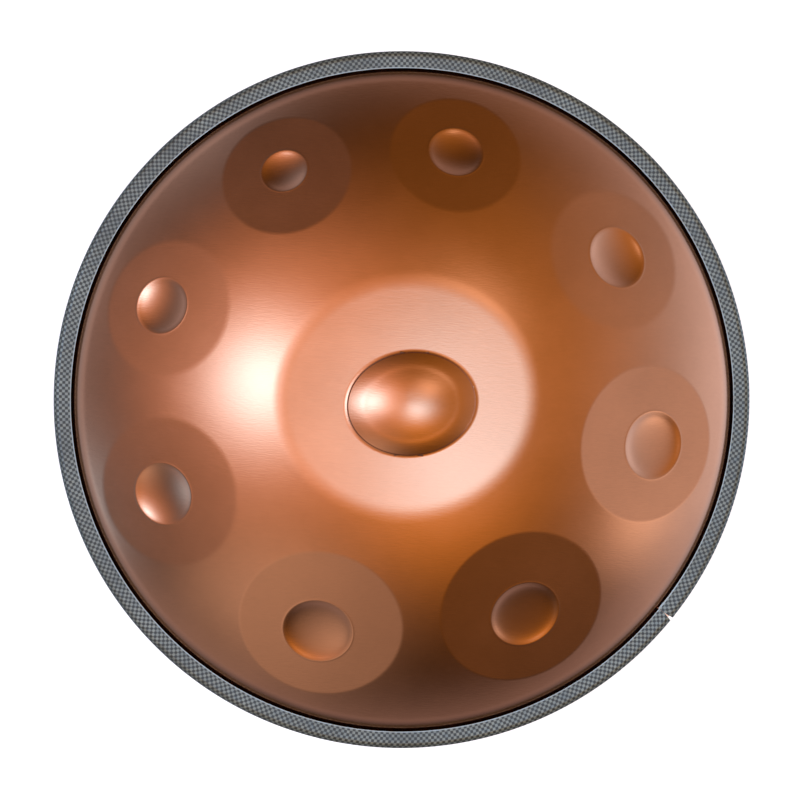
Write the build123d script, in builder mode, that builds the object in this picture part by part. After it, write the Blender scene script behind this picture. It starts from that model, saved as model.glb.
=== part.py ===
from build123d import *
import math
import os

# A handpan: two drawn steel shells bonded flange to flange, with an edge guard over the joint.
# The upper shell carries an oval ding and eight flat tone fields, each with a round dimple.
# The lower shell has a flat ring to stand on and the resonance port, its neck turned inwards.
# Millimetres. +Z is up, the origin is the centre of the face it stands on, and +Y points away
# from the player.

# ---- Sheet steel and the drawn dome that both shells share ----
STEEL = 1.0
CROWN_RADIUS = 400.0
DOME_HEIGHT = 107.5         # apex above the flange's outer face, before any note is formed
CROWN_EDGE_SLOPE = 39.5     # degrees, where the crown runs into the shoulder
WALL_SLOPE = 72.0           # degrees, at the foot of the wall
ROOT_RADIUS = 1.0           # concave bend from wall to flange, on the outer face
FLANGE_RADIUS = 276.5

# ---- Tone fields: azimuth in degrees, reach from the axis, field and dimple diameters ----
TONE_FIELDS = [
    (34.5, 200.5, 114.0, 47.0),
    (79.0, 200.5, 104.0, 41.5),
    (118.0, 204.5, 104.0, 35.0),
    (158.5, 204.5, 108.0, 43.0),
    (200.5, 203.0, 119.0, 48.5),
    (248.5, 190.0, 130.0, 54.0),
    (299.0, 187.5, 133.0, 54.5),
    (350.0, 194.5, 125.0, 53.5),
]
DIMPLE_SHIFT = 5.8          # dimple centre beyond the field's centre, measured in the field
DIMPLE_SLOPE = 16.0         # degrees, of the dimple at its lip
DIMPLE_LIP = 3.0            # rounding of the lip, on the outer face
LARGEST_DIMPLE = 60.0       # every dimple is smaller across than this, every field larger

# ---- Ding: an oval dome on a nearly flat round field at the crown ----
DING_FIELD_RADIUS = 96.0
DING_FIELD_SLOPE = 3.5      # degrees, of the field at its edge; the field is very slightly domed
DING_LENGTH = 102.0
DING_WIDTH = 82.0
DING_TURN = 6.0             # degrees, of the long axis from +X
DING_WALL_HEIGHT = 2.0
DING_WALL_SLOPE = 55.0
DING_EDGE_SLOPE = 22.0      # of the dome where it meets the wall, along the ding's length
DING_ROOT = 4.0             # how far the dome reaches down into the crown before it is joined

# ---- Port in the lower shell, and the ring round it that the handpan stands on ----
PORT_RADIUS = 50.0
PORT_MOUTH_RADIUS = 8.0     # roll from the ring into the neck
PORT_NECK = 20.0            # straight length of the neck
RING_RADIUS = 88.0

# ---- Bond line ----
BOND = 0.6
BOND_INNER_RADIUS = 266.5
BOND_OUTER_RADIUS = 276.0

# ---- Edge guard: U section, half round at the back, square at the lips ----
TRIM_RADIUS = 280.0
TRIM_LIP_RADIUS = 266.2
TRIM_HALF_HEIGHT = 4.75
FILM = 0.35
TRIM_SLOT = 4.3             # clear height between the legs
CORE = 0.5
CORE_LIP_RADIUS = 267.5
CORE_HALF_HEIGHT = 3.5
CORE_SLOTS = 60
CORE_SLOT_WIDTH = 2.0
FIN_RADII = (267.6, 270.4, 273.2)
FIN_BASE = 1.3
FIN_TIP = 0.4
TRIM_GAP = 3.0              # between the two ends, at the back
TRIM_GAP_LIPS = 0.6         # between them at the lips
TRIM_GAP_AZIMUTH = -39.2

# ---- Worked out from the above ----
CROWN_CENTRE = DOME_HEIGHT - CROWN_RADIUS
SIN_EDGE = math.sin(math.radians(CROWN_EDGE_SLOPE))
COS_EDGE = math.cos(math.radians(CROWN_EDGE_SLOPE))
CROWN_EDGE_HEIGHT = CROWN_CENTRE + CROWN_RADIUS * COS_EDGE
SHOULDER_RADIUS = CROWN_EDGE_HEIGHT / (COS_EDGE - math.cos(math.radians(WALL_SLOPE)))
SHOULDER_CENTRE = (
    (CROWN_RADIUS - SHOULDER_RADIUS) * SIN_EDGE,
    CROWN_EDGE_HEIGHT - SHOULDER_RADIUS * COS_EDGE,
)
RING_HEIGHT = CROWN_CENTRE + math.sqrt(CROWN_RADIUS**2 - RING_RADIUS**2)
DING_FIELD_BALL = DING_FIELD_RADIUS / math.sin(math.radians(DING_FIELD_SLOPE))
DING_FIELD_EDGE = CROWN_CENTRE + math.sqrt(CROWN_RADIUS**2 - DING_FIELD_RADIUS**2)
DING_FIELD_CENTRE = DING_FIELD_EDGE - math.sqrt(DING_FIELD_BALL**2 - DING_FIELD_RADIUS**2)
DING_FIELD_TOP = DING_FIELD_CENTRE + DING_FIELD_BALL

# Heights of the two flanges' outer faces, and of the middle of the bond line
LOWER_FACE = RING_HEIGHT
UPPER_FACE = LOWER_FACE + 2 * STEEL + BOND
RIM_HEIGHT = (LOWER_FACE + UPPER_FACE) / 2
BACK_CENTRE = TRIM_RADIUS - TRIM_HALF_HEIGHT

# Half-section planes: first coordinate is the radius, second the height above a flange face
UPPER_SECTION = Plane(origin=(0, 0, UPPER_FACE), x_dir=(1, 0, 0), z_dir=(0, -1, 0))
LOWER_SECTION = Plane(origin=(0, 0, LOWER_FACE), x_dir=(1, 0, 0), z_dir=(0, 1, 0))
RIM_SECTION = Plane(origin=(0, 0, RIM_HEIGHT), x_dir=(1, 0, 0), z_dir=(0, -1, 0))
SPILL = 1.0                 # how far a cutting shape passes the edge that it cuts


def on_circle(centre, radius, slope):
    """Point of a section circle where the dome's slope is the given angle in degrees."""
    angle = math.radians(slope)
    return (centre[0] + radius * math.sin(angle), centre[1] + radius * math.cos(angle))


def foot_slope(inset):
    """Slope of the shoulder where it meets the flange face, or the face one inset below it."""
    return math.degrees(math.acos((-inset - SHOULDER_CENTRE[1]) / (SHOULDER_RADIUS - inset)))


def dome_foot(inset):
    return on_circle(SHOULDER_CENTRE, SHOULDER_RADIUS - inset, foot_slope(inset))


def dome_arcs(inset, start_slope=0.0):
    """Crown and shoulder arcs of the dome, set in by the inset, from a slope down to the foot."""
    crown = ((0.0, CROWN_CENTRE), CROWN_RADIUS - inset)
    shoulder = (SHOULDER_CENTRE, SHOULDER_RADIUS - inset)
    crown_middle = (start_slope + CROWN_EDGE_SLOPE) / 2
    shoulder_middle = (CROWN_EDGE_SLOPE + foot_slope(inset)) / 2
    edge = on_circle(*crown, CROWN_EDGE_SLOPE)
    ThreePointArc(on_circle(*crown, start_slope), on_circle(*crown, crown_middle), edge)
    ThreePointArc(edge, on_circle(*shoulder, shoulder_middle), dome_foot(inset))


def field_plane(azimuth, reach, diameter):
    """Plane of a flat tone field, facing outwards, with its X axis pointing downhill."""
    tilt = math.degrees(math.asin(reach / CROWN_RADIUS))
    normal = Vector(0, 0, 1).rotate(Axis.Y, tilt).rotate(Axis.Z, azimuth)
    downhill = Vector(1, 0, 0).rotate(Axis.Y, tilt).rotate(Axis.Z, azimuth)
    distance = math.sqrt(CROWN_RADIUS**2 - (diameter / 2) ** 2)
    centre = Vector(0, 0, UPPER_FACE + CROWN_CENTRE) + normal * distance
    return Plane(origin=centre, x_dir=downhill, z_dir=normal)


def ding_boss(inset):
    """Oval dome with a short steep wall, set in by the inset, standing on the ding field."""
    wall = math.radians(DING_WALL_SLOPE)
    half_length = DING_LENGTH / 2 - inset / math.sin(wall)
    half_width = DING_WIDTH / 2 - inset / math.sin(wall)
    cap_radius = DING_LENGTH / 2 - DING_WALL_HEIGHT / math.tan(wall)
    ball = cap_radius / math.sin(math.radians(DING_EDGE_SLOPE))
    floor = UPPER_FACE + DING_FIELD_TOP
    ball_centre = floor + DING_WALL_HEIGHT - math.sqrt(ball**2 - cap_radius**2)
    above = ball_centre + ball - floor
    plane = Plane(origin=(0, 0, floor), x_dir=(1, 0, 0), z_dir=(0, -1, 0))
    with BuildPart() as boss:
        with BuildSketch(plane):
            Polygon(
                (0, -DING_ROOT),
                (half_length + DING_ROOT / math.tan(wall), -DING_ROOT),
                (half_length - above / math.tan(wall), above),
                (0, above),
                align=None,
            )
        revolve(axis=Axis.Z)
        with Locations((0, 0, ball_centre)):
            Sphere(ball - inset, mode=Mode.INTERSECT)
        scale(by=(1, half_width / half_length, 1))
    return boss.part


def press_notes(body, boss, inset):
    """Ease the ding field and flatten the tone fields, sink the dimples and raise the ding."""
    with Locations((0, 0, UPPER_FACE + DING_FIELD_CENTRE)):
        Sphere(DING_FIELD_BALL - inset, mode=Mode.INTERSECT)
    for azimuth, reach, field_diameter, dimple_diameter in TONE_FIELDS:
        plane = field_plane(azimuth, reach, field_diameter)
        split(bisect_by=plane.offset(-inset), keep=Keep.BOTTOM)
        slope = math.radians(DIMPLE_SLOPE)
        ball = dimple_diameter / 2 / math.sin(slope)
        centre = plane.from_local_coords((DIMPLE_SHIFT, 0, ball * math.cos(slope)))
        with Locations(Plane(origin=centre, x_dir=plane.x_dir, z_dir=plane.z_dir)):
            Sphere(ball + inset, mode=Mode.SUBTRACT)
    lips = body.edges().filter_by(
        lambda edge: edge.geom_type == GeomType.CIRCLE and edge.radius < LARGEST_DIMPLE / 2
    )
    fillet(lips, DIMPLE_LIP - inset)
    add(boss, rotation=(0, 0, DING_TURN))


def upper_outside(boss):
    """Everything under the upper shell's outer face, out to the edge of its flange."""
    with BuildPart() as outside:
        with BuildSketch(UPPER_SECTION) as section:
            with BuildLine():
                dome_arcs(0)
                foot = dome_foot(0)
                Polyline(
                    foot,
                    (FLANGE_RADIUS, 0),
                    (FLANGE_RADIUS, -2 * STEEL),
                    (0, -2 * STEEL),
                    (0, DOME_HEIGHT),
                )
            make_face()
            fillet(section.vertices().sort_by_distance(foot)[0], ROOT_RADIUS)
        revolve(axis=Axis.Z)
        press_notes(outside, boss, 0)
    return outside.part


def upper_inside(boss):
    """Everything under the upper shell's inner face, and under its flange."""
    with BuildPart() as inside:
        with BuildSketch(UPPER_SECTION) as section:
            with BuildLine():
                dome_arcs(STEEL)
                foot = dome_foot(STEEL)
                Polyline(
                    foot,
                    (FLANGE_RADIUS + SPILL, -STEEL),
                    (FLANGE_RADIUS + SPILL, -3 * STEEL),
                    (0, -3 * STEEL),
                    (0, DOME_HEIGHT - STEEL),
                )
            make_face()
            fillet(section.vertices().sort_by_distance(foot)[0], ROOT_RADIUS + STEEL)
        revolve(axis=Axis.Z)
        press_notes(inside, boss, STEEL)
    return inside.part


def make_top_shell():
    outside = upper_outside(ding_boss(0))
    inside = upper_inside(ding_boss(STEEL))
    with BuildPart() as top_shell:
        add(outside)
        add(inside, mode=Mode.SUBTRACT)
    return top_shell


def make_bottom_shell():
    ring_slope = math.degrees(math.asin(RING_RADIUS / CROWN_RADIUS))
    inner_cosine = (RING_HEIGHT - STEEL - CROWN_CENTRE) / (CROWN_RADIUS - STEEL)
    inner_ring_slope = math.degrees(math.acos(inner_cosine))
    inner_ring_radius = (CROWN_RADIUS - STEEL) * math.sin(math.radians(inner_ring_slope))
    neck_end = RING_HEIGHT - PORT_MOUTH_RADIUS - PORT_NECK
    mouth = (PORT_RADIUS, RING_HEIGHT)
    inner_mouth = (PORT_RADIUS + STEEL, RING_HEIGHT - STEEL)
    rounded = [
        (dome_foot(0), ROOT_RADIUS),
        (dome_foot(STEEL), ROOT_RADIUS + STEEL),
        (mouth, PORT_MOUTH_RADIUS),
        (inner_mouth, PORT_MOUTH_RADIUS - STEEL),
    ]
    with BuildPart() as bottom_shell:
        with BuildSketch(LOWER_SECTION) as section:
            with BuildLine():
                dome_arcs(0, ring_slope)
                dome_arcs(STEEL, inner_ring_slope)
                Polyline(
                    dome_foot(0),
                    (FLANGE_RADIUS, 0),
                    (FLANGE_RADIUS, -STEEL),
                    dome_foot(STEEL),
                )
                Polyline(
                    (RING_RADIUS, RING_HEIGHT),
                    mouth,
                    (PORT_RADIUS, neck_end),
                    (PORT_RADIUS + STEEL, neck_end),
                    inner_mouth,
                    (inner_ring_radius, RING_HEIGHT - STEEL),
                )
            make_face()
            for point, radius in rounded:
                fillet(section.vertices().sort_by_distance(point)[0], radius)
        revolve(axis=Axis.Z)
    return bottom_shell


def make_rim_adhesive():
    with BuildPart() as rim_adhesive:
        with BuildSketch(Plane.XY.offset(RIM_HEIGHT)):
            Circle(BOND_OUTER_RADIUS)
            Circle(BOND_INNER_RADIUS, mode=Mode.SUBTRACT)
        extrude(amount=BOND / 2, both=True)
    return rim_adhesive


def channel(half_height, lip_radius, mode=Mode.ADD):
    """Edge-guard section about the rim's mid-plane: flat legs and a half-round back."""
    with Locations(((lip_radius + BACK_CENTRE) / 2, 0)):
        Rectangle(BACK_CENTRE - lip_radius, 2 * half_height, mode=mode)
    with Locations((BACK_CENTRE, 0)):
        Circle(half_height, mode=mode)


def open_trim_gap():
    """Cut the edge guard through where its two ends meet, wider at the back than at the lips."""
    inner = TRIM_LIP_RADIUS - SPILL
    outer = TRIM_RADIUS + SPILL
    with BuildSketch(Plane.XY.offset(RIM_HEIGHT).rotated((0, 0, TRIM_GAP_AZIMUTH))) as wedge:
        Polygon(
            (inner, -TRIM_GAP_LIPS / 2),
            (outer, -TRIM_GAP / 2),
            (outer, TRIM_GAP / 2),
            (inner, TRIM_GAP_LIPS / 2),
            align=None,
        )
    extrude(wedge.sketch, amount=2 * TRIM_HALF_HEIGHT, both=True, mode=Mode.SUBTRACT)


def make_trim_core():
    """Steel carrier of the edge guard: a U band whose legs are slotted into fingers."""
    slot = BACK_CENTRE - SPILL - CORE_LIP_RADIUS
    with BuildPart() as trim_core:
        with BuildSketch(RIM_SECTION):
            channel(CORE_HALF_HEIGHT, CORE_LIP_RADIUS)
            channel(CORE_HALF_HEIGHT - CORE, CORE_LIP_RADIUS - SPILL, Mode.SUBTRACT)
        revolve(axis=Axis.Z)
        with Locations((0, 0, RIM_HEIGHT)):
            with PolarLocations(CORE_LIP_RADIUS, CORE_SLOTS):
                Box(2 * slot, CORE_SLOT_WIDTH, 3 * CORE_HALF_HEIGHT, mode=Mode.SUBTRACT)
        open_trim_gap()
    return trim_core


def fin_sections():
    """Three soft fins on each leg, reaching in to grip the bonded flanges."""
    flange_face = STEEL + BOND / 2
    for radius in FIN_RADII:
        for side in (-1, 1):
            Polygon(
                (radius - FIN_BASE / 2, side * (TRIM_SLOT + SPILL) / 2),
                (radius - FIN_TIP / 2, side * flange_face),
                (radius + FIN_TIP / 2, side * flange_face),
                (radius + FIN_BASE / 2, side * (TRIM_SLOT + SPILL) / 2),
                align=None,
            )


def make_edge_trim(core):
    with BuildPart() as edge_trim:
        with BuildSketch(RIM_SECTION):
            channel(TRIM_HALF_HEIGHT - FILM, TRIM_LIP_RADIUS)
            channel(TRIM_SLOT / 2, TRIM_LIP_RADIUS - SPILL, Mode.SUBTRACT)
            fin_sections()
        revolve(axis=Axis.Z)
        open_trim_gap()
        add(core, mode=Mode.SUBTRACT)
    return edge_trim


def make_trim_film():
    with BuildPart() as trim_film:
        with BuildSketch(RIM_SECTION):
            channel(TRIM_HALF_HEIGHT, TRIM_LIP_RADIUS)
            channel(TRIM_HALF_HEIGHT - FILM, TRIM_LIP_RADIUS - SPILL, Mode.SUBTRACT)
        revolve(axis=Axis.Z)
        open_trim_gap()
    return trim_film


def save(node, name):
    node.part.label = name
    export_step(node.part, f"parts/{name}.step")


os.makedirs("parts", exist_ok=True)
trim_core = make_trim_core()
save(make_top_shell(), "top_shell")
save(make_bottom_shell(), "bottom_shell")
save(make_rim_adhesive(), "rim_adhesive")
save(make_edge_trim(trim_core.part), "edge_trim")
save(trim_core, "trim_core")
save(make_trim_film(), "trim_film")
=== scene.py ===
"""Handpan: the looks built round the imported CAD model.

Lengths of shapes are in millimetres, in the frame of the CAD: +Z up, +Y away from the player,
the origin on the ground under the middle. Meshes are scaled to metres when they are made, and
materials count in metres.
"""
import math

import bpy
import numpy as np
from mathutils import Matrix, Vector
from mathutils.geometry import delaunay_2d_cdt
from mathutils.kdtree import KDTree


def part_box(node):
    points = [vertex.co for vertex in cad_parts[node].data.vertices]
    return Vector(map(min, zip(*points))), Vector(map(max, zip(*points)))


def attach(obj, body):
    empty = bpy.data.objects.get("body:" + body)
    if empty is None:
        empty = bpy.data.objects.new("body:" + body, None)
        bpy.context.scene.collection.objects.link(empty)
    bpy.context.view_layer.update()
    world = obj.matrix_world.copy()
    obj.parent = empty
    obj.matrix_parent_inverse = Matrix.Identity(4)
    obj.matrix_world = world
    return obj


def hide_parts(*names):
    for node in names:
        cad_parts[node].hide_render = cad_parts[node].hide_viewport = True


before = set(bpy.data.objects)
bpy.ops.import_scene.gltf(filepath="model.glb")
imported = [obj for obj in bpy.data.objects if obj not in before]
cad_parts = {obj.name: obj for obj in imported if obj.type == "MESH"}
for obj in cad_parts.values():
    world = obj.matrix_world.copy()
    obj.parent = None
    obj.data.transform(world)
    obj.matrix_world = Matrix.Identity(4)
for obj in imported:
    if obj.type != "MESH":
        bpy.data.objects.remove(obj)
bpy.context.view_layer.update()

MM = 0.001

# ---- The drawn dome that both shells share ----
STEEL = 1.0
CROWN_RADIUS = 400.0
DOME_HEIGHT = 107.5
CROWN_EDGE_SLOPE = math.radians(39.5)
WALL_SLOPE = math.radians(72.0)
ROOT_RADIUS = 1.0
FLANGE_RADIUS = 276.5
LOWER_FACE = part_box("bottom_shell")[1].z / MM - STEEL
UPPER_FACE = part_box("top_shell")[0].z / MM + STEEL
RIM_HEIGHT = sum(corner.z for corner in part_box("edge_trim")) / 2 / MM

# ---- Notes of the upper shell. Tone field: azimuth in degrees, reach of the field's middle from
# the axis, field diameter, reach of its dimple, dimple diameter, and two slopes in degrees: of
# the very slightly domed field at its edge, and of the dimple's bowl ----
TONE_FIELDS = [
    (34.5, 200.5, 114, 204, 48, 4, 15),
    (79, 200.5, 104, 203, 42, 1.5, 15),
    (118, 204.5, 104, 208.5, 35, 1, 15),
    (158.5, 204.5, 108, 210, 43, 3.5, 15),
    (200.5, 203, 119, 208, 48, 4, 15),
    (248.5, 190, 130, 196.5, 54, 2, 10),
    (299, 187.5, 133, 194.5, 54.5, 1, 5),
    (350, 194.5, 125, 201, 52.5, 0.5, 5),
]
FIELD_CREASE = 0.2          # how far the steel rounds off inside the edge of a field
DIMPLE_LIP_SLOPE = math.radians(20.0)
DIMPLE_BAND = 5             # the higher, the narrower the steep band inside the lip
DIMPLE_CREASE = 0.7
DIMPLE_RIDGE = 0.09         # height of the faint ridge thrown up round a dimple
DIMPLE_RIDGE_WIDTH = 0.9

# ---- Ding ----
DING_FIELD = (99.5, 91.0)   # half length and half width
DING_FIELD_TURN = math.radians(10.0)
DING_FIELD_CENTRE = (-4.0, 5.6)
DING_FIELD_SLOPE = math.radians(4.0)
DING_FIELD_CREASE = 1.3
DING = (49.5, 39.6)
DING_TURN = math.radians(6.0)
DING_EDGE_SLOPE = math.radians(22.0)
DING_WALL_HEIGHT = 2.0
DING_WALL_STEEPNESS = 2.0   # rise over run
DING_ROOT_WIDTH = 3.2       # of the hollow bend at the foot of the wall
DING_ROOT_RISE = 0.6
DING_CREASE = 0.1
DING_LINE = 0.73            # share of the ding's size at which a faint ledge runs round it
DING_LEDGE_DROP = 0.4
DING_LEDGE_WIDTH = 3.0

# ---- Port of the lower shell ----
PORT_RADIUS = 50.0
PORT_MOUTH_RADIUS = 8.0
PORT_NECK = 20.0
RING_RADIUS = 88.0

# ---- Edge guard ----
TRIM_RADIUS = 280.0
TRIM_LIP_RADIUS = 266.2
TRIM_HALF_HEIGHT = 4.75
FILM = 0.35
TRIM_GAP = 3.0              # between the guard's two ends, at the back
TRIM_GAP_LIPS = 0.2
TRIM_GAP_OPENS = 272.5      # radius beyond which the two ends part
TRIM_SLIP = 0.8             # how far the lip at the end past the gap sits in from the other's
TRIM_SLIP_LENGTH = 20.0
TRIM_GAP_AZIMUTH = math.radians(-39.2)
WEAVE = 2.35                # width of one thread of the film's woven pattern
WEAVE_RELIEF = 0.1
INNER_ROWS = 12

# ---- How fine the meshes are ----
RUN_SAMPLES = 20000
NORMAL_STEP = 0.05
SMALLEST_RUN = 1e-6
FIELD_WORKED = 0.75         # share of a tone field's diameter, from its middle, that it can change
PAST_EDGE = 1.3             # share of a dimple's or oval's size beyond which it changes nothing
OUTLINE_SHARES = (0.3, 0.6)  # a field's edge lies between these shares of its diameter
OUTLINE_HALVINGS = 30
RIM_COUNT = 720
ROOT_RINGS = 9              # rings along the root bend
ROOT_RINGS_BEFORE = 1.5     # how far they start before it
ROOT_RINGS_PAST = 0.8
UPPER_MARGIN = 1.5          # of the lattice from the rim
INNER_MARGIN = 2.0
UPPER_SPACING = 2.7         # of the lattice between the rings, on the outer face
UPPER_GAP = 1.3             # least distance of that lattice from the rings
INNER_SPACING = 5.0
INNER_GAP = 2.5
FIELD_RING_SPACING = 1.7
FIELD_OFFSETS = (0, -0.8, 0.8, -1.6, 1.6, -2.6, 2.6)
DIMPLE_RING_SPACING = 1.3
DIMPLE_OFFSETS = (0, 0.8, -0.8, 1.6, -1.6, 2.5, -2.5, 3.5, -3.5, 4.6, -4.6, -5.8, -7.2)
DING_RING_SPACING = 1.2
DING_OFFSETS = (
    5, 4, 3.3, 2.6, 2, 1.5, 1.1, 0.85, 0.7, 0.55, 0.35, 0.15, 0.05,
    -0.05, -0.2, -0.5, -1, -1.7, -2.6, -3.8)
DING_LINE_SPACING = 1.6
DING_LINE_OFFSETS = (-4, -3, -2, -1, 0, 1, 2, 3, 4)
DING_FIELD_SPACING = 2.4
DING_FIELD_OFFSETS = (-9, -6, -4, -2, 0, 2, 4, 6, 9)
LOWER_TURNS = 360
ROOT_POINTS = 8             # points along each stretch of the lower shell's section
SHOULDER_POINTS = 12
CROWN_POINTS = 50
RING_POINTS = 8
MOUTH_POINTS = 12
SHARP_FROM = math.radians(50)

# ---- Worked out from the above ----
CROWN_CENTRE = DOME_HEIGHT - CROWN_RADIUS
CROWN_EDGE_RADIUS = CROWN_RADIUS * math.sin(CROWN_EDGE_SLOPE)
CROWN_EDGE_HEIGHT = CROWN_CENTRE + CROWN_RADIUS * math.cos(CROWN_EDGE_SLOPE)
SHOULDER_RADIUS = CROWN_EDGE_HEIGHT / (math.cos(CROWN_EDGE_SLOPE) - math.cos(WALL_SLOPE))
SHOULDER_CENTRE = (CROWN_RADIUS - SHOULDER_RADIUS) * math.sin(CROWN_EDGE_SLOPE)
SHOULDER_CENTRE_HEIGHT = CROWN_EDGE_HEIGHT - SHOULDER_RADIUS * math.cos(CROWN_EDGE_SLOPE)
ROOT_SLOPE = math.acos((ROOT_RADIUS - SHOULDER_CENTRE_HEIGHT) / (SHOULDER_RADIUS + ROOT_RADIUS))
ROOT_CENTRE = SHOULDER_CENTRE + (SHOULDER_RADIUS + ROOT_RADIUS) * math.sin(ROOT_SLOPE)
SHOULDER_LENGTH = SHOULDER_RADIUS * (ROOT_SLOPE - CROWN_EDGE_SLOPE)
ROOT_LENGTH = ROOT_RADIUS * ROOT_SLOPE
WALL_END = CROWN_EDGE_RADIUS + SHOULDER_LENGTH
ROOT_END = WALL_END + ROOT_LENGTH
RIM_END = ROOT_END + FLANGE_RADIUS - ROOT_CENTRE
BACK_CENTRE = TRIM_RADIUS - TRIM_HALF_HEIGHT


# ================================================================ surfaces

def dome_section(run):
    """Radius and height above the flange of the plain dome. The run is the radius on the crown,
    and beyond it the length along the shoulder, the root bend and the flange."""
    crown_height = CROWN_CENTRE + np.sqrt(CROWN_RADIUS**2 - np.minimum(run, CROWN_EDGE_RADIUS)**2)
    slope = CROWN_EDGE_SLOPE + (run - CROWN_EDGE_RADIUS) / SHOULDER_RADIUS
    bend = np.clip((ROOT_END - run) / ROOT_RADIUS, 0, ROOT_SLOPE)
    zones = [run < CROWN_EDGE_RADIUS, run < WALL_END, run < ROOT_END]
    radius = np.select(zones, [
        run,
        SHOULDER_CENTRE + SHOULDER_RADIUS * np.sin(slope),
        ROOT_CENTRE - ROOT_RADIUS * np.sin(bend),
    ], ROOT_CENTRE + run - ROOT_END)
    height = np.select(zones, [
        crown_height,
        SHOULDER_CENTRE_HEIGHT + SHOULDER_RADIUS * np.cos(slope),
        ROOT_RADIUS * (1 - np.cos(bend)),
    ], 0.0)
    return radius, height


def lower_of(first, second, rounding):
    """The lower of two heights, with the crease between them rounded off."""
    overlap = np.maximum(rounding - np.abs(first - second), 0) / rounding
    return np.minimum(first, second) - overlap**2 * rounding / 4


def field_frame(azimuth, reach, diameter):
    """Centre of a tone field, and its downhill, sideways and outward directions."""
    turn = math.radians(azimuth)
    tilt = math.asin(reach / CROWN_RADIUS)
    out = np.array([math.cos(turn), math.sin(turn), 0])
    up = np.array([0, 0, 1])
    normal = math.sin(tilt) * out + math.cos(tilt) * up
    downhill = math.cos(tilt) * out - math.sin(tilt) * up
    sideways = np.cross(normal, downhill)
    distance = math.sqrt(CROWN_RADIUS**2 - (diameter / 2)**2)
    return CROWN_CENTRE * up + distance * normal, downhill, sideways, normal


def press_tone_field(x, y, z, note):
    azimuth, reach, diameter, dimple_reach, dimple_diameter, doming, bowl_slope = note
    centre, downhill, sideways, normal = field_frame(azimuth, reach, diameter)
    near = np.hypot(x - centre[0], y - centre[1]) < FIELD_WORKED * diameter
    plane = centre[2] - ((x - centre[0]) * normal[0] + (y - centre[1]) * normal[1]) / normal[2]
    rise = plane - centre[2]
    along = (x - centre[0]) * downhill[0] + (y - centre[1]) * downhill[1] + rise * downhill[2]
    across = (x - centre[0]) * sideways[0] + (y - centre[1]) * sideways[1]
    to_edge = np.hypot(along, across) / (diameter / 2)
    plane = plane + math.tan(math.radians(doming)) * diameter / 4 * (1 - to_edge**2) / normal[2]
    pressed = lower_of(z, plane, FIELD_CREASE)
    shift = (dimple_reach - reach) / math.hypot(*downhill[:2])
    share = np.hypot(along - shift, across) / (dimple_diameter / 2)
    bowl = math.tan(math.radians(bowl_slope))
    band = math.tan(DIMPLE_LIP_SLOPE) - bowl
    depth = bowl * (1 - share**2) / 2 + band * (1 - share**(DIMPLE_BAND + 1)) / (DIMPLE_BAND + 1)
    sunk = plane - depth * dimple_diameter / 2 / normal[2]
    past_edge = (share - 1) * dimple_diameter / 2 - DIMPLE_RIDGE_WIDTH
    ridge = DIMPLE_RIDGE * np.exp(-(past_edge / DIMPLE_RIDGE_WIDTH)**2)
    dimpled = np.where(share < PAST_EDGE, lower_of(pressed, sunk, DIMPLE_CREASE) + ridge, pressed)
    return np.where(near, dimpled, z)


def oval_share(x, y, centre, half_sizes, turn):
    along = (x - centre[0]) * math.cos(turn) + (y - centre[1]) * math.sin(turn)
    across = (y - centre[1]) * math.cos(turn) - (x - centre[0]) * math.sin(turn)
    return np.hypot(along / half_sizes[0], across / half_sizes[1])


def ease_ding_field(x, y, z):
    """Flatten the crown round the ding to a slightly domed oval."""
    share = oval_share(x, y, DING_FIELD_CENTRE, DING_FIELD, DING_FIELD_TURN)
    inside = np.maximum(share, 0.001)
    edge_x = DING_FIELD_CENTRE[0] + (x - DING_FIELD_CENTRE[0]) / inside
    edge_y = DING_FIELD_CENTRE[1] + (y - DING_FIELD_CENTRE[1]) / inside
    edge = CROWN_CENTRE + np.sqrt(np.maximum(CROWN_RADIUS**2 - edge_x**2 - edge_y**2, 0))
    size = sum(DING_FIELD) / 2
    level = CROWN_CENTRE + math.sqrt(CROWN_RADIUS**2 - size**2)
    doming = math.tan(DING_FIELD_SLOPE) * size / 2
    cap = level + (edge - level) * np.minimum(share, 1) + doming * (1 - share**2)
    return np.where(share < PAST_EDGE, lower_of(z, cap, DING_FIELD_CREASE), z)


def raise_ding(x, y, z):
    share = oval_share(x, y, (0, 0), DING, DING_TURN)
    inwards = (1 - share) * DING[0]
    wall_width = (DING_WALL_HEIGHT - DING_ROOT_RISE) / DING_WALL_STEEPNESS
    from_foot = inwards + wall_width
    root = np.clip(from_foot / DING_ROOT_WIDTH + 1, 0, 1)
    climb = DING_ROOT_RISE * root**2 + DING_WALL_STEEPNESS * np.maximum(from_foot, 0)
    dome = math.tan(DING_EDGE_SLOPE) * DING[0] / 2 * (1 - share**2) + DING_WALL_HEIGHT
    ledge = DING_LEDGE_DROP / 2 * (1 - np.tanh((share - DING_LINE) * DING[0] / DING_LEDGE_WIDTH))
    return z + np.where(root > 0, lower_of(climb, dome - ledge, DING_CREASE), 0)


def upper_surface(u, v):
    """Points of the upper shell's outer face. (u, v) is the face laid flat by its run."""
    run = np.maximum(np.hypot(u, v), SMALLEST_RUN)
    radius, z = dome_section(run)
    x = u * radius / run
    y = v * radius / run
    for note in TONE_FIELDS:
        z = press_tone_field(x, y, z, note)
    z = raise_ding(x, y, ease_ding_field(x, y, z))
    return np.stack([x, y, z + UPPER_FACE], axis=1)


def surface_normals(surface, u, v):
    along_u = surface(u + NORMAL_STEP, v) - surface(u - NORMAL_STEP, v)
    along_v = surface(u, v + NORMAL_STEP) - surface(u, v - NORMAL_STEP)
    normals = np.cross(along_u, along_v)
    return normals / np.linalg.norm(normals, axis=1, keepdims=True)


# ================================================================ where the mesh has its points

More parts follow.
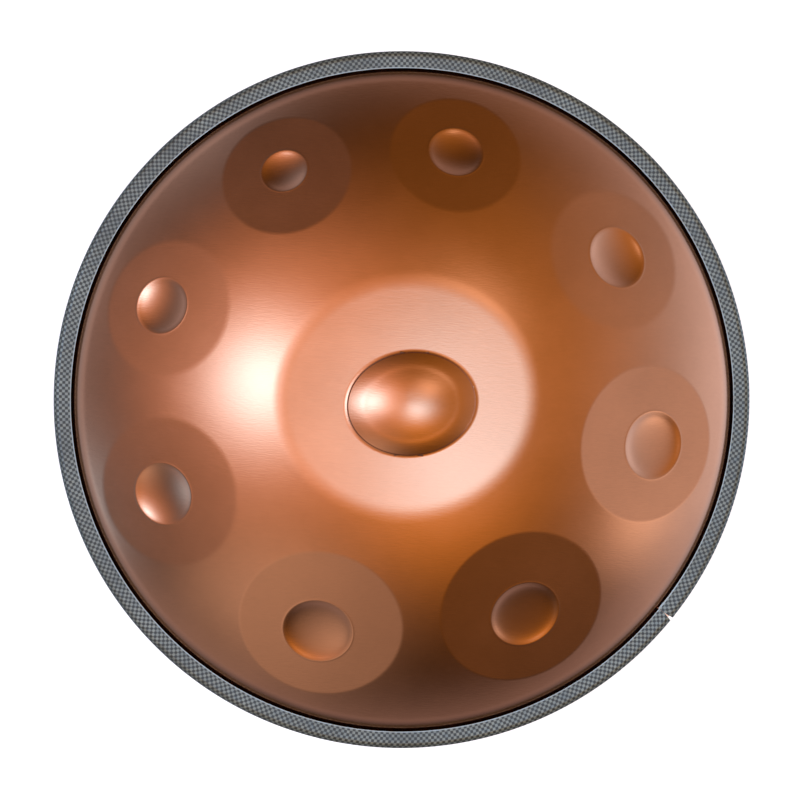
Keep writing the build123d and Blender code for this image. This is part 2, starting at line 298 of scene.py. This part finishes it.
def hex_lattice(radius, spacing):
    row_height = spacing * math.sqrt(3) / 2
    rows = int(radius / row_height) + 1
    columns = int(radius / spacing) + 1
    row, column = np.mgrid[-rows:rows + 1, -columns:columns + 1]
    u = (column + (row % 2) / 2) * spacing
    v = row * row_height
    keep = np.hypot(u, v) < radius
    return np.stack([u[keep], v[keep]], axis=1)


def laid_flat(x, y):
    """(u, v) of points of the dome given by their (x, y)."""
    runs = np.linspace(0, RIM_END, RUN_SAMPLES)
    radius = np.hypot(x, y)
    run = np.interp(radius, dome_section(runs)[0], runs)
    return np.stack([x * run / radius, y * run / radius], axis=1)


def ring_angles(length, spacing):
    count = max(8, round(length / spacing))
    return np.arange(count) * 2 * math.pi / count


def field_outline(note, angles):
    """How far a tone field's edge is from its middle, measured in the field."""
    azimuth, reach, diameter = note[:3]
    centre, downhill, sideways, _ = field_frame(azimuth, reach, diameter)
    low, high = (np.full(len(angles), share * diameter) for share in OUTLINE_SHARES)
    runs = np.linspace(0, RIM_END, RUN_SAMPLES)
    radii, heights = dome_section(runs)
    for _ in range(OUTLINE_HALVINGS):
        middle = (low + high) / 2
        point = centre + middle[:, None] * (
            np.cos(angles)[:, None] * downhill + np.sin(angles)[:, None] * sideways)
        dome = np.interp(np.hypot(point[:, 0], point[:, 1]), radii, heights)
        inside = dome > point[:, 2]
        low = np.where(inside, middle, low)
        high = np.where(inside, high, middle)
    return (low + high) / 2


def field_rings(note):
    azimuth, reach, diameter, dimple_reach, dimple_diameter = note[:5]
    centre, downhill, sideways, _ = field_frame(azimuth, reach, diameter)
    downhill = downhill[:2]
    sideways = sideways[:2]
    rings = []
    angles = ring_angles(math.pi * diameter, FIELD_RING_SPACING)
    outline = field_outline(note, angles)
    for offset in FIELD_OFFSETS:
        size = outline + offset
        flat = centre[:2] + size[:, None] * (
            np.cos(angles)[:, None] * downhill + np.sin(angles)[:, None] * sideways)
        rings.append(laid_flat(*flat.T))
    shift = (dimple_reach - reach) / math.hypot(*downhill)
    angles = ring_angles(math.pi * dimple_diameter, DIMPLE_RING_SPACING)
    for offset in DIMPLE_OFFSETS:
        size = dimple_diameter / 2 + offset
        flat = centre[:2] + shift * downhill + size * (
            np.cos(angles)[:, None] * downhill + np.sin(angles)[:, None] * sideways)
        rings.append(laid_flat(*flat.T))
    return rings


def oval_rings(centre, half_sizes, turn, offsets, spacing):
    rings = []
    angles = ring_angles(math.pi * sum(half_sizes), spacing)
    for offset in offsets:
        share = 1 + offset / half_sizes[0]
        along = half_sizes[0] * share * np.cos(angles)
        across = half_sizes[1] * share * np.sin(angles)
        x = centre[0] + along * math.cos(turn) - across * math.sin(turn)
        y = centre[1] + along * math.sin(turn) + across * math.cos(turn)
        rings.append(laid_flat(x, y))
    return rings


def round_ring(run, count):
    angles = np.arange(count) * 2 * math.pi / count
    return np.stack([run * np.cos(angles), run * np.sin(angles)], axis=1)


def fit_in(points, placed, gap):
    """The points that are at least the gap from those already placed."""
    tree = KDTree(len(placed))
    for index, (u, v) in enumerate(placed):
        tree.insert((u, v, 0), index)
    tree.balance()
    clear = [tree.find((u, v, 0))[2] >= gap for u, v in points]
    return points[clear]


def upper_points():
    placed = [round_ring(RIM_END, RIM_COUNT)]
    for run in np.linspace(WALL_END - ROOT_RINGS_BEFORE, ROOT_END + ROOT_RINGS_PAST, ROOT_RINGS):
        placed.append(round_ring(run, RIM_COUNT))
    line = (DING[0] * DING_LINE, DING[1] * DING_LINE)
    ding_rings = oval_rings((0, 0), DING, DING_TURN, DING_OFFSETS, DING_RING_SPACING)
    ding_rings += oval_rings((0, 0), line, DING_TURN, DING_LINE_OFFSETS, DING_LINE_SPACING)
    ding_rings += oval_rings(
        DING_FIELD_CENTRE, DING_FIELD, DING_FIELD_TURN, DING_FIELD_OFFSETS, DING_FIELD_SPACING)
    for note in TONE_FIELDS:
        placed += field_rings(note)
    placed = np.concatenate(placed + ding_rings)
    lattice = fit_in(hex_lattice(RIM_END - UPPER_MARGIN, UPPER_SPACING), placed, UPPER_GAP)
    return np.concatenate([placed, lattice])


def inner_points():
    placed = round_ring(RIM_END, RIM_COUNT)
    lattice = fit_in(hex_lattice(RIM_END - INNER_MARGIN, INNER_SPACING), placed, INNER_GAP)
    return np.concatenate([placed, lattice])


# ================================================================ meshes

def triangles_of(points):
    _, _, faces, originals, _, _ = delaunay_2d_cdt(
        [Vector(point) for point in points], [], [], 0, 1e-6)
    owner = [group[0] for group in originals]
    return np.array([[owner[corner] for corner in face] for face in faces])


def add_piece(name, points, faces, normals, material, stands_for):
    mesh = bpy.data.meshes.new(name)
    mesh.from_pydata((np.asarray(points) * MM).tolist(), [], [list(map(int, face)) for face in faces])
    mesh.validate()
    mesh.update()
    if normals is not None:
        mesh.shade_smooth()
        mesh.normals_split_custom_set_from_vertices(normals.tolist())
    mesh.materials.append(material)
    piece = bpy.data.objects.new(name, mesh)
    bpy.context.scene.collection.objects.link(piece)
    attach(piece, "root")
    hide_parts(stands_for)
    return piece


def make_upper_shell(material):
    outer = upper_points()
    inner = inner_points()
    outer_normals = surface_normals(upper_surface, *outer.T)
    inner_normals = surface_normals(upper_surface, *inner.T)
    points = np.concatenate([
        upper_surface(*outer.T),
        upper_surface(*inner.T) - STEEL * inner_normals,
    ])
    normals = np.concatenate([outer_normals, -inner_normals])
    start = len(outer)
    faces = triangles_of(outer).tolist()
    faces += (triangles_of(inner)[:, ::-1] + start).tolist()
    for index in range(RIM_COUNT):
        following = (index + 1) % RIM_COUNT
        faces.append([index, start + index, start + following, following])
    return add_piece("upper_shell", points, faces, normals, material, "top_shell")


def arc(centre, radius, first, last, count):
    """Points of a section arc, its angles measured from straight down towards the rim."""
    angles = np.linspace(first, last, count)
    return np.stack([centre[0] + radius * np.sin(angles), centre[1] - radius * np.cos(angles)], 1)


def lower_section():
    """Closed section of the lower shell: outer face from rim to neck, then back inside."""
    crown_centre = (0, LOWER_FACE - CROWN_CENTRE)
    shoulder_centre = (SHOULDER_CENTRE, LOWER_FACE - SHOULDER_CENTRE_HEIGHT)
    root_centre = (ROOT_CENTRE, LOWER_FACE - ROOT_RADIUS)
    ring_slope = math.asin(RING_RADIUS / CROWN_RADIUS)
    quarter = math.pi / 2
    roll = (PORT_RADIUS + PORT_MOUTH_RADIUS, PORT_MOUTH_RADIUS)
    neck_end = PORT_MOUTH_RADIUS + PORT_NECK
    sides = []
    for inset in (0, STEEL):
        ring = ring_slope if inset == 0 else math.acos(
            (crown_centre[1] - STEEL) / (CROWN_RADIUS - STEEL))
        ring_radius = (CROWN_RADIUS - inset) * math.sin(ring)
        bend = arc(root_centre, ROOT_RADIUS + inset, 0, ROOT_SLOPE, ROOT_POINTS)
        bend[:, 0] = 2 * root_centre[0] - bend[:, 0]
        bend[:, 1] = 2 * root_centre[1] - bend[:, 1]
        sides.append(np.concatenate([
            [(FLANGE_RADIUS, LOWER_FACE + inset)],
            bend,
            arc(shoulder_centre, SHOULDER_RADIUS - inset, ROOT_SLOPE, CROWN_EDGE_SLOPE, SHOULDER_POINTS),
            arc(crown_centre, CROWN_RADIUS - inset, CROWN_EDGE_SLOPE, ring, CROWN_POINTS)[1:],
            np.linspace((ring_radius, inset), (roll[0], inset), RING_POINTS)[1:-1],
            arc(roll, PORT_MOUTH_RADIUS - inset, 0, -quarter, MOUTH_POINTS),
            [(PORT_RADIUS + inset, neck_end)],
        ]))
    return np.concatenate([sides[0], sides[1][::-1]])


def make_lower_shell(material):
    section = lower_section()
    count = len(section)
    angles = np.arange(LOWER_TURNS) * 2 * math.pi / LOWER_TURNS
    points = np.concatenate([
        np.stack([section[:, 0] * math.cos(a), section[:, 0] * math.sin(a), section[:, 1]], 1)
        for a in angles])
    faces = []
    for turn in range(LOWER_TURNS):
        here = turn * count
        there = (turn + 1) % LOWER_TURNS * count
        for index in range(count):
            after = (index + 1) % count
            faces.append([here + index, here + after, there + after, there + index])
    piece = add_piece("lower_shell", points, faces, None, material, "bottom_shell")
    piece.data.shade_smooth()
    piece.data.set_sharp_from_angle(angle=SHARP_FROM)
    return piece


def film_section(inset, rows):
    """U section of the film from its upper lip round the back to its lower lip."""
    half = TRIM_HALF_HEIGHT - inset
    leg = BACK_CENTRE - TRIM_LIP_RADIUS
    runs = np.linspace(0, 2 * leg + math.pi * TRIM_HALF_HEIGHT, rows + 1)
    turn = np.clip((runs - leg) / TRIM_HALF_HEIGHT, 0, math.pi)
    radius = BACK_CENTRE + half * np.sin(turn)
    radius = np.where(runs < leg, TRIM_LIP_RADIUS + runs, radius)
    radius = np.where(turn >= math.pi, BACK_CENTRE - (runs - leg - math.pi * TRIM_HALF_HEIGHT), radius)
    return radius, RIM_HEIGHT + half * np.cos(turn), turn


def make_film(material):
    """The film's threads cross each other, and each one in turn stands proud in the middle of its
    crossing. Both ways the mesh has two steps to a thread."""
    steps = 2 * round(2 * math.pi * TRIM_RADIUS / WEAVE)
    rows = 2 * round((2 * (BACK_CENTRE - TRIM_LIP_RADIUS) + math.pi * TRIM_HALF_HEIGHT) / WEAVE)
    outer_radius, outer_height, turn = film_section(0, rows)
    inner_radius, inner_height, _ = film_section(FILM, INNER_ROWS)
    thread = np.arange(rows + 1) / 2
    half_gap = TRIM_GAP_LIPS / 2 + (TRIM_GAP - TRIM_GAP_LIPS) / 2 * np.clip(
        (outer_radius - TRIM_GAP_OPENS) / (TRIM_RADIUS - TRIM_GAP_OPENS), 0, 1)
    inner_gap = np.interp(np.linspace(0, 1, INNER_ROWS + 1), np.linspace(0, 1, rows + 1), half_gap)
    outer_lip = np.clip((BACK_CENTRE - outer_radius) / (BACK_CENTRE - TRIM_LIP_RADIUS), 0, 1)
    inner_lip = np.clip((BACK_CENTRE - inner_radius) / (BACK_CENTRE - TRIM_LIP_RADIUS), 0, 1)
    gap = np.concatenate([half_gap, inner_gap[::-1]])
    lip = np.concatenate([outer_lip, inner_lip[::-1]])
    reach = np.concatenate([outer_radius, inner_radius[::-1]])
    loops = []
    weaves = []
    for step in range(steps + 1):
        sweep = step / steps
        lift = WEAVE_RELIEF * math.sin(math.pi * step / 2) * np.sin(math.pi * thread)
        slip = TRIM_SLIP * lip * math.exp(-sweep * 2 * math.pi * TRIM_RADIUS / TRIM_SLIP_LENGTH)
        angle = TRIM_GAP_AZIMUTH + gap / reach + sweep * (2 * math.pi - 2 * gap / reach)
        radius = np.concatenate([outer_radius + np.sin(turn) * lift, inner_radius[::-1]]) - slip
        height = np.concatenate([outer_height + np.cos(turn) * lift, inner_height[::-1]])
        loops.append(np.stack([radius * np.cos(angle), radius * np.sin(angle), height], 1))
        weaves.append(np.stack([np.full(rows + 1, step / 2), thread], 1))
        weaves.append(np.zeros((INNER_ROWS + 1, 2)))
    count = rows + INNER_ROWS + 2
    faces = []
    for here in range(0, steps * count, count):
        for index in range(count):
            after = (index + 1) % count
            faces.append([here + index, here + count + index, here + count + after, here + after])
    faces.append(list(range(count)))
    faces.append(list(range(steps * count + count - 1, steps * count - 1, -1)))
    piece = add_piece(
        "woven_film", np.concatenate(loops), faces, None, material, "trim_film")
    for axis, name in enumerate(("thread_round", "thread_across")):
        attribute = piece.data.attributes.new(name, "FLOAT", "POINT")
        attribute.data.foreach_set("value", np.concatenate(weaves)[:, axis].astype(np.float32))
    piece.data.shade_smooth()
    piece.data.set_sharp_from_angle(angle=SHARP_FROM)
    return piece


# ================================================================ materials

class Nodes:
    """Short calls for building a node tree."""

    def __init__(self, tree):
        self.tree = tree

    def add(self, kind, inputs=None, **settings):
        node = self.tree.nodes.new(kind)
        for name, value in settings.items():
            setattr(node, name, value)
        for name, value in (inputs or {}).items():
            self.feed(node.inputs[name], value)
        return node

    def feed(self, socket, value):
        if isinstance(value, bpy.types.NodeSocket):
            self.tree.links.new(value, socket)
        else:
            socket.default_value = value

    def math(self, operation, first, second=0.0):
        node = self.add("ShaderNodeMath", {0: first, 1: second}, operation=operation)
        return node.outputs[0]

    def noise(self, vector, scale, detail=2.0, stretch=(1, 1, 1)):
        stretched = self.add("ShaderNodeVectorMath", {0: vector, 1: stretch}, operation="MULTIPLY")
        node = self.add("ShaderNodeTexNoise", {
            "Vector": stretched.outputs[0], "Scale": scale, "Detail": detail, "Roughness": 0.55})
        return node.outputs["Fac"]

    def remap(self, value, low, high, to_low, to_high):
        node = self.add("ShaderNodeMapRange", {
            "Value": value, "From Min": low, "From Max": high, "To Min": to_low, "To Max": to_high})
        return node.outputs["Result"]

    def ramp(self, value, first, last):
        node = self.add("ShaderNodeMix", data_type="RGBA")
        self.feed(node.inputs["Factor"], value)
        node.inputs["A"].default_value = (*first, 1)
        node.inputs["B"].default_value = (*last, 1)
        return node.outputs["Result"]

    def bump(self, height, distance, strength=1.0):
        node = self.add("ShaderNodeBump", {
            "Height": height, "Distance": distance, "Strength": strength})
        return node.outputs["Normal"]


def new_material(name):
    material = bpy.data.materials.new(name)
    material.use_nodes = True
    shader = material.node_tree.nodes["Principled BSDF"]
    return material, Nodes(material.node_tree), shader


NOISE_RANGE = (0.3, 0.7)        # nearly all values of a noise lie in it
STEEL_TINT = (0.58, 0.26, 0.13)
STEEL_ROUGHNESS = (0.15, 0.21)
STEEL_MOTTLE = 0.08             # how much lighter or darker the tint gets
BRUSHING_TURN = math.radians(6)
BRUSHING_DEPTH = 0.00005
STROKES = (170, 1150, 170)      # how close the brush strokes lie along X, Y and Z
FINE_STROKES = (500, 3500, 500)
BUMP_DEPTH = 0.00005            # of the plain materials' grain
ROUGHNESS_SPREAD = 0.06
FILM_DARK = (0.05, 0.055, 0.047)
FILM_LIGHT = (0.26, 0.29, 0.235)
# Colour of a painted highlight along the film's inner lip, where its edge catches the light.
FILM_LIP_HIGHLIGHT_COLOUR = (0.38, 0.44, 0.40)
FILM_LIP_HIGHLIGHT = (0.5, 0.9)           # the painted highlight along the lip's edge fades out over this stretch, in millimetres
FILM_BUMP_DEPTH = 0.00003
FILM_ROUGHNESS = (0.34, 0.46)


def bronzed_steel():
    """Heat-tinted steel, brushed nearly along X in short strokes."""
    material, nodes, shader = new_material("bronzed_steel")
    place = nodes.add("ShaderNodeTexCoord").outputs["Object"]
    brushed = nodes.add("ShaderNodeVectorRotate", {
        "Vector": place, "Angle": BRUSHING_TURN}, rotation_type="Z_AXIS").outputs[0]
    strokes = nodes.noise(brushed, 1.0, 2.0, STROKES)
    fine = nodes.noise(brushed, 1.0, 2.0, FINE_STROKES)
    clouds = nodes.noise(place, 14.0, 3.0)
    brushing = nodes.math("ADD", nodes.math("MULTIPLY", strokes, 0.7), nodes.math("MULTIPLY", fine, 0.3))
    tone = nodes.math("ADD", nodes.math("MULTIPLY", clouds, 0.7), nodes.math("MULTIPLY", strokes, 0.3))
    colour = nodes.ramp(
        nodes.remap(tone, *NOISE_RANGE, 0.0, 1.0),
        tuple((1 - STEEL_MOTTLE) * c for c in STEEL_TINT),
        tuple((1 + STEEL_MOTTLE) * c for c in STEEL_TINT))
    nodes.feed(shader.inputs["Base Color"], colour)
    nodes.feed(shader.inputs["Metallic"], 1.0)
    nodes.feed(shader.inputs["Roughness"], nodes.remap(tone, *NOISE_RANGE, *STEEL_ROUGHNESS))
    nodes.feed(shader.inputs["Normal"], nodes.bump(brushing, BRUSHING_DEPTH))
    return material


def woven_film():
    """Dark woven film with a satin gloss. The threads that stand proud are the lighter ones, and a pale
    highlight is painted along the inner lip.
    """
    material, nodes, shader = new_material("woven_film")
    place = nodes.add("ShaderNodeTexCoord").outputs["Object"]
    grime = nodes.noise(place, 220.0, 2.0)
    clouds = nodes.noise(place, 25.0, 2.0)
    waves = [
        nodes.math("SINE", nodes.math("MULTIPLY", nodes.add(
            "ShaderNodeAttribute", attribute_name=name).outputs["Fac"], math.pi))
        for name in ("thread_round", "thread_across")]
    thread = nodes.remap(nodes.math("MULTIPLY", *waves), -0.3, 0.4, 0.0, 1.0)
    worn = nodes.math("ADD", nodes.math("MULTIPLY", grime, 0.5), nodes.math("MULTIPLY", clouds, 0.5))
    tone = nodes.math("MULTIPLY", thread, nodes.remap(worn, 0.35, 0.65, 0.5, 1.1))
    weave = nodes.ramp(tone, FILM_DARK, FILM_LIGHT)
    parts = nodes.add("ShaderNodeSeparateXYZ", {0: place})
    flat = nodes.add("ShaderNodeCombineXYZ", {"X": parts.outputs["X"], "Y": parts.outputs["Y"]})
    radius = nodes.add("ShaderNodeVectorMath", {0: flat.outputs[0]}, operation="LENGTH")
    # Painted highlight: the film turns pale towards its inner lip, where the edge catches the light.
    highlight_from, highlight_to = ((TRIM_LIP_RADIUS + reach) * MM for reach in FILM_LIP_HIGHLIGHT)
    lip = nodes.remap(radius.outputs["Value"], highlight_from, highlight_to, 1.0, 0.0)
    colour = nodes.add("ShaderNodeMix", {"Factor": lip}, data_type="RGBA")
    nodes.feed(colour.inputs["A"], weave)
    colour.inputs["B"].default_value = (*FILM_LIP_HIGHLIGHT_COLOUR, 1)
    nodes.feed(shader.inputs["Base Color"], colour.outputs["Result"])
    shader.inputs["Metallic"].default_value = 0.5
    nodes.feed(shader.inputs["Roughness"], nodes.remap(grime, *NOISE_RANGE, *FILM_ROUGHNESS))
    nodes.feed(shader.inputs["Normal"], nodes.bump(grime, FILM_BUMP_DEPTH))
    return material


# Finishes of the nodes that keep their CAD shape: name, dark and light colour, roughness,
# metallic and scale of the grain.
PLAIN_FINISHES = {
    "rim_adhesive": ("adhesive", (0.02, 0.02, 0.02), (0.05, 0.05, 0.05), 0.6, 0.0, 300.0),
    "edge_trim": ("edge_rubber", (0.01, 0.01, 0.011), (0.022, 0.022, 0.024), 0.55, 0.0, 900.0),
    "trim_core": ("zinc_plated", (0.45, 0.45, 0.44), (0.62, 0.62, 0.6), 0.35, 1.0, 500.0),
}


def plain_material(name, dark, light, roughness, metallic, grain_scale):
    material, nodes, shader = new_material(name)
    place = nodes.add("ShaderNodeTexCoord").outputs["Object"]
    grain = nodes.noise(place, grain_scale, 3.0)
    nodes.feed(shader.inputs["Base Color"], nodes.ramp(grain, dark, light))
    nodes.feed(shader.inputs["Metallic"], metallic)
    uneven = nodes.remap(
        grain, *NOISE_RANGE, roughness - ROUGHNESS_SPREAD, roughness + ROUGHNESS_SPREAD)
    nodes.feed(shader.inputs["Roughness"], uneven)
    nodes.feed(shader.inputs["Normal"], nodes.bump(grain, BUMP_DEPTH))
    return material


# ================================================================ studio

def direction(from_zenith, azimuth):
    tilt = math.radians(from_zenith)
    turn = math.radians(azimuth)
    return Vector((math.sin(tilt) * math.cos(turn), math.sin(tilt) * math.sin(turn), math.cos(tilt)))


# The room's lights share five colours. They are strong ones because the tinted steel takes most
# of the green and blue out of what it mirrors.
LIGHT_COLOURS = {
    "warm": (1.0, 0.55, 0.1),
    "rosy": (1.0, 0.65, 0.5),
    "white": (1.0, 0.95, 1.0),
    "shade": (0.4, 0.6, 1.0),
    "daylight": (0.2, 0.5, 1.0),
}
# Soft lights, as seen from the handpan: degrees from overhead, azimuth and spread in degrees,
# brightness and colour.
ROOM_LIGHTS = {
    "ceiling": (35, 15, 50, 0.6, "warm"),
    "ceiling_near": (25, -70, 20, 0.75, "warm"),
    "overhead_panel": (25, 45, 10, 1.0, "white"),
    "overhead_panel_near": (10, -35, 12, 5.0, "daylight"),
    "window": (32, 173, 12, 8.0, "daylight"),
    "window_surround": (30, 170, 30, 1.5, "rosy"),
    "right_wall": (100, 0, 35, 1.8, "shade"),
    "right_lamp": (70, -25, 10, 1.0, "white"),
    "lower_left_wall": (60, -120, 20, 0.7, "white"),
    "left_wall": (120, 175, 45, 0.8, "shade"),
    "left_door": (85, -160, 10, 1.2, "daylight"),
    "upper_left_corner": (85, 125, 15, 0.4, "shade"),
    "floor_bounce": (180, 0, 40, 0.5, "white"),
}
HORIZON_GLOW = (0.3, 0.3, 0.4)
GLOW_ABOVE = math.radians(10)    # how far the horizon's glow reaches up
GLOW_BELOW = math.radians(20)    # and down


def make_world():
    world = bpy.data.worlds.new("studio")
    bpy.context.scene.world = world
    world.use_nodes = True
    nodes = Nodes(world.node_tree)
    ray = nodes.add("ShaderNodeTexCoord").outputs["Generated"]
    ray = nodes.add("ShaderNodeVectorMath", {0: ray}, operation="NORMALIZE").outputs[0]
    height = nodes.add("ShaderNodeSeparateXYZ", {0: ray}).outputs["Z"]
    elevation = nodes.math("ARCSINE", height)
    above = nodes.math("DIVIDE", nodes.math("MAXIMUM", elevation, 0.0), GLOW_ABOVE)
    below = nodes.math("DIVIDE", nodes.math("MINIMUM", elevation, 0.0), GLOW_BELOW)
    total = falloff(nodes, nodes.math("ADD", above, below), HORIZON_GLOW)
    for from_zenith, azimuth, spread, brightness, colour in ROOM_LIGHTS.values():
        towards = nodes.add("ShaderNodeVectorMath", {
            0: ray, 1: direction(from_zenith, azimuth)}, operation="DOT_PRODUCT").outputs["Value"]
        angle = nodes.math("ARCCOSINE", nodes.math("MINIMUM", towards, 1.0))
        share = nodes.math("DIVIDE", angle, math.radians(spread))
        light = falloff(nodes, share, [brightness * c for c in LIGHT_COLOURS[colour]])
        total = nodes.add("ShaderNodeVectorMath", {0: total, 1: light}, operation="ADD").outputs[0]
    nodes.feed(world.node_tree.nodes["Background"].inputs["Color"], total)


def falloff(nodes, share, colour):
    fade = nodes.math("EXPONENT", nodes.math("MULTIPLY", nodes.math("POWER", share, 2.0), -1.0))
    return nodes.add("ShaderNodeVectorMath", {
        0: colour, "Scale": fade}, operation="SCALE").outputs[0]


FLOOR_HALF = 8000.0
FLOOR_DROP = 0.5            # keeps the floor clear of the handpan's resting face
FLOOR_WHITE = 0.75
FLOOR_GLOW = 0.75


def make_floor():
    """A plain white sweep. The steel mirrors the room's own light instead of it."""
    mesh = bpy.data.meshes.new("floor")
    corners = [(-1, -1), (1, -1), (1, 1), (-1, 1)]
    mesh.from_pydata(
        [(x * FLOOR_HALF * MM, y * FLOOR_HALF * MM, -FLOOR_DROP * MM) for x, y in corners],
        [], [(0, 1, 2, 3)])
    floor = bpy.data.objects.new("floor", mesh)
    bpy.context.scene.collection.objects.link(floor)
    floor.visible_glossy = False
    material, _, shader = new_material("white_sweep")
    shader.inputs["Base Color"].default_value = (FLOOR_WHITE, FLOOR_WHITE, FLOOR_WHITE, 1)
    shader.inputs["Roughness"].default_value = 0.9
    shader.inputs["Emission Color"].default_value = (1, 1, 1, 1)
    shader.inputs["Emission Strength"].default_value = FLOOR_GLOW
    mesh.materials.append(material)


CAMERA_DISTANCE = 3200.0
CAMERA_VIEW = (3.9, 157)            # degrees from overhead, and azimuth
CAMERA_FIELD = 642.5                # how much the frame takes in at the height of the rim
CAMERA_SHIFT = (-0.00425, 0.0005)   # in widths of the frame
SENSOR_WIDTH = 36


def make_camera():
    back = direction(*CAMERA_VIEW)
    right = Vector((0, 1, 0)).cross(back).normalized()
    up = back.cross(right)
    place = Vector((0, 0, RIM_HEIGHT)) + CAMERA_DISTANCE * back
    camera = bpy.data.cameras.new("camera")
    camera.sensor_width = SENSOR_WIDTH
    camera.lens = SENSOR_WIDTH * CAMERA_DISTANCE / CAMERA_FIELD
    camera.shift_x, camera.shift_y = CAMERA_SHIFT
    camera.clip_end = 50
    rig = bpy.data.objects.new("camera", camera)
    rig.matrix_world = Matrix.Translation(place * MM) @ Matrix((right, up, back)).transposed().to_4x4()
    bpy.context.scene.collection.objects.link(rig)
    bpy.context.scene.camera = rig


bpy.context.scene.view_settings.view_transform = "Standard"
make_camera()
make_world()
make_floor()
steel = bronzed_steel()
make_upper_shell(steel)
make_lower_shell(steel)
make_film(woven_film())
for node, finish in PLAIN_FINISHES.items():
    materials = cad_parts[node].data.materials
    materials.clear()
    materials.append(plain_material(*finish))
